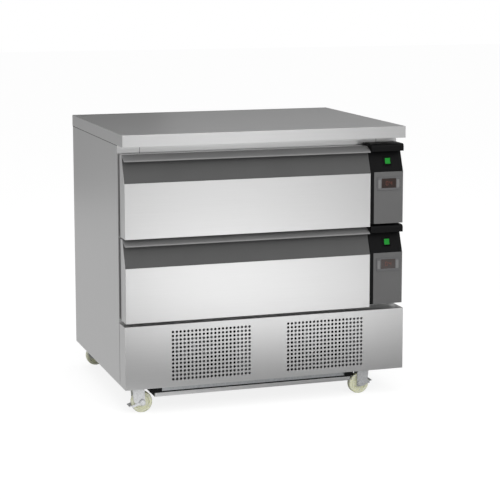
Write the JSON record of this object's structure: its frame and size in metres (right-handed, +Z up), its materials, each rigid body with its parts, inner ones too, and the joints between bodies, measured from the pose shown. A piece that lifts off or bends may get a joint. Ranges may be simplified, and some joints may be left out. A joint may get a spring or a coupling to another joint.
{
  "type": "refrigerated drawer counter",
  "caption": "Low stainless refrigerated counter on castors, with wide insulated drawers, grips along their tops, a control column beside each and a perforated machine cover below.",
  "frame": {"origin": "on the floor, under the middle of the worktop", "axes": "+X to the right seen from the front, +Y to the back, +Z up; the drawers open towards -Y"},
  "size_m": [0.9, 0.7, 0.845],
  "materials": {
    "stainless": "brushed stainless sheet",
    "galvanised": "galvanised sheet",
    "zinc": "zinc plated steel",
    "dark_grip": "dark anodised extrusion",
    "foam": "rigid foam",
    "black_plastic": "moulded black plastic",
    "grey_panel": "grey lacquered sheet",
    "grey_plastic": "dark grey plastic",
    "light_plastic": "light grey plastic",
    "green_plastic": "green translucent plastic",
    "dark_window": "dark display window",
    "gasket_rubber": "soft rubber",
    "wheel_nylon": "pale cast wheel",
    "bare_aluminium": "mill finish",
    "compressor_black": "black enamel",
    "copper": "bright copper"
  },
  "bodies": {
    "cabinet": {"worktop": "stainless", "left_side_panel": "stainless", "right_side_panel": "stainless", "back_panel": "galvanised", "front_frame": "stainless", "cabinet_insulation": "foam", "machine_room_ceiling": "galvanised", "compartment_liners": "stainless", "base_chassis": "galvanised", "base_tray": "stainless", "machine_cover": "stainless", "cable_gland": "black_plastic", "compressors": "compressor_black", "condensers": "bare_aluminium", "condenser_fan_motors": "galvanised", "refrigerant_pipes": "copper", "evaporators": "bare_aluminium", "air_ducts": "stainless", "upper_control_housing": "black_plastic", "lower_control_housing": "black_plastic", "control_fascias": "grey_panel", "switch_bezels": "black_plastic", "thermostats": "grey_plastic", "display_windows": "dark_window", "castor_mounts": "zinc", "outer_rails": "zinc"},
    "front_left_fork": {"front_left_castor_fork": "zinc"},
    "front_left_wheel": {"front_left_castor_wheel": "wheel_nylon"},
    "front_right_fork": {"front_right_castor_fork": "zinc"},
    "front_right_wheel": {"front_right_castor_wheel": "wheel_nylon"},
    "rear_left_fork": {"rear_left_castor_fork": "zinc"},
    "rear_left_wheel": {"rear_left_castor_wheel": "wheel_nylon"},
    "rear_right_fork": {"rear_right_castor_fork": "zinc"},
    "rear_right_wheel": {"rear_right_castor_wheel": "wheel_nylon"},
    "front_left_brake": {"front_left_brake_pedal": "zinc"},
    "front_right_brake": {"front_right_brake_pedal": "zinc"},
    "left_condenser_rotor": {"left_condenser_fan": "bare_aluminium"},
    "right_condenser_rotor": {"right_condenser_fan": "bare_aluminium"},
    "upper_drawer": {"upper_drawer_front": "stainless", "upper_grip": "dark_grip", "upper_inner_panel": "stainless", "upper_gasket": "gasket_rubber", "upper_drawer_box": "stainless", "upper_inner_rails": "zinc"},
    "upper_slides": {"upper_middle_rails": "zinc"},
    "upper_switch": {"upper_power_switch": "green_plastic"},
    "upper_left_button": {"upper_left_key": "light_plastic"},
    "upper_right_button": {"upper_right_key": "light_plastic"},
    "upper_evaporator_rotor": {"upper_evaporator_fan": "black_plastic"},
    "lower_drawer": {"lower_drawer_front": "stainless", "lower_grip": "dark_grip", "lower_inner_panel": "stainless", "lower_gasket": "gasket_rubber", "lower_drawer_box": "stainless", "lower_inner_rails": "zinc"},
    "lower_slides": {"lower_middle_rails": "zinc"},
    "lower_switch": {"lower_power_switch": "green_plastic"},
    "lower_left_button": {"lower_left_key": "light_plastic"},
    "lower_right_button": {"lower_right_key": "light_plastic"},
    "lower_evaporator_rotor": {"lower_evaporator_fan": "black_plastic"}
  },
  "joints": [
    {"name": "upper_drawer_slide", "type": "slide", "parent": "cabinet", "child": "upper_drawer", "axis": [0, -1, 0], "range_m": [0, 0.5]},
    {"name": "upper_middle_rail_slide", "type": "slide", "parent": "cabinet", "child": "upper_slides", "axis": [0, -1, 0], "range_m": [0, 0.25]},
    {"name": "upper_switch_rock", "type": "hinge", "parent": "cabinet", "child": "upper_switch", "pos_m": [0.3955, -0.33031, 0.73319], "axis": [1, 0, 0], "range_deg": [-12, 0]},
    {"name": "upper_left_key_press", "type": "slide", "parent": "cabinet", "child": "upper_left_button", "axis": [0, 1, 0], "range_m": [0, 0.0005], "stiffness_N_per_m": 400, "springref_m": -0.0005},
    {"name": "upper_right_key_press", "type": "slide", "parent": "cabinet", "child": "upper_right_button", "axis": [0, 1, 0], "range_m": [0, 0.0005], "stiffness_N_per_m": 400, "springref_m": -0.0005},
    {"name": "upper_evaporator_fan_spin", "type": "hinge", "parent": "cabinet", "child": "upper_evaporator_rotor", "pos_m": [0.3025, -0.16, 0.6895], "axis": [1, 0, 0], "continuous": true},
    {"name": "lower_drawer_slide", "type": "slide", "parent": "cabinet", "child": "lower_drawer", "axis": [0, -1, 0], "range_m": [0, 0.5]},
    {"name": "lower_middle_rail_slide", "type": "slide", "parent": "cabinet", "child": "lower_slides", "axis": [0, -1, 0], "range_m": [0, 0.25]},
    {"name": "lower_switch_rock", "type": "hinge", "parent": "cabinet", "child": "lower_switch", "pos_m": [0.3955, -0.33031, 0.47919], "axis": [1, 0, 0], "range_deg": [-12, 0]},
    {"name": "lower_left_key_press", "type": "slide", "parent": "cabinet", "child": "lower_left_button", "axis": [0, 1, 0], "range_m": [0, 0.0005], "stiffness_N_per_m": 400, "springref_m": -0.0005},
    {"name": "lower_right_key_press", "type": "slide", "parent": "cabinet", "child": "lower_right_button", "axis": [0, 1, 0], "range_m": [0, 0.0005], "stiffness_N_per_m": 400, "springref_m": -0.0005},
    {"name": "lower_evaporator_fan_spin", "type": "hinge", "parent": "cabinet", "child": "lower_evaporator_rotor", "pos_m": [0.3025, -0.16, 0.4355], "axis": [1, 0, 0], "continuous": true},
    {"name": "left_condenser_fan_spin", "type": "hinge", "parent": "cabinet", "child": "left_condenser_rotor", "pos_m": [-0.1835, -0.182, 0.1675], "axis": [0, 1, 0], "continuous": true},
    {"name": "right_condenser_fan_spin", "type": "hinge", "parent": "cabinet", "child": "right_condenser_rotor", "pos_m": [0.1835, -0.182, 0.1675], "axis": [0, 1, 0], "continuous": true},
    {"name": "front_left_castor_swivel", "type": "hinge", "parent": "cabinet", "child": "front_left_fork", "pos_m": [-0.405, -0.312, 0.091], "axis": [0, 0, 1], "continuous": true},
    {"name": "front_left_wheel_roll", "type": "hinge", "parent": "front_left_fork", "child": "front_left_wheel", "pos_m": [-0.392, -0.312, 0.0325], "axis": [0, 1, 0], "continuous": true},
    {"name": "front_left_brake_step", "type": "hinge", "parent": "front_left_fork", "child": "front_left_brake", "pos_m": [-0.392, -0.312, 0.0325], "axis": [0, 1, 0], "range_deg": [0, 25]},
    {"name": "front_right_castor_swivel", "type": "hinge", "parent": "cabinet", "child": "front_right_fork", "pos_m": [0.325, -0.312, 0.091], "axis": [0, 0, 1], "continuous": true},
    {"name": "front_right_wheel_roll", "type": "hinge", "parent": "front_right_fork", "child": "front_right_wheel", "pos_m": [0.312, -0.312, 0.0325], "axis": [0, 1, 0], "continuous": true},
    {"name": "front_right_brake_step", "type": "hinge", "parent": "front_right_fork", "child": "front_right_brake", "pos_m": [0.312, -0.312, 0.0325], "axis": [0, -1, 0], "range_deg": [-25, 0]},
    {"name": "rear_left_castor_swivel", "type": "hinge", "parent": "cabinet", "child": "rear_left_fork", "pos_m": [-0.405, 0.312, 0.091], "axis": [0, 0, 1], "continuous": true},
    {"name": "rear_left_wheel_roll", "type": "hinge", "parent": "rear_left_fork", "child": "rear_left_wheel", "pos_m": [-0.392, 0.312, 0.0325], "axis": [0, 1, 0], "continuous": true},
    {"name": "rear_right_castor_swivel", "type": "hinge", "parent": "cabinet", "child": "rear_right_fork", "pos_m": [0.325, 0.312, 0.091], "axis": [0, 0, 1], "continuous": true},
    {"name": "rear_right_wheel_roll", "type": "hinge", "parent": "rear_right_fork", "child": "rear_right_wheel", "pos_m": [0.312, 0.312, 0.0325], "axis": [0, 1, 0], "continuous": true}
  ],
  "couplings": [
    {"joint": "upper_middle_rail_slide", "follows": "upper_drawer_slide", "ratio": 0.5},
    {"joint": "lower_middle_rail_slide", "follows": "lower_drawer_slide", "ratio": 0.5}
  ]
}
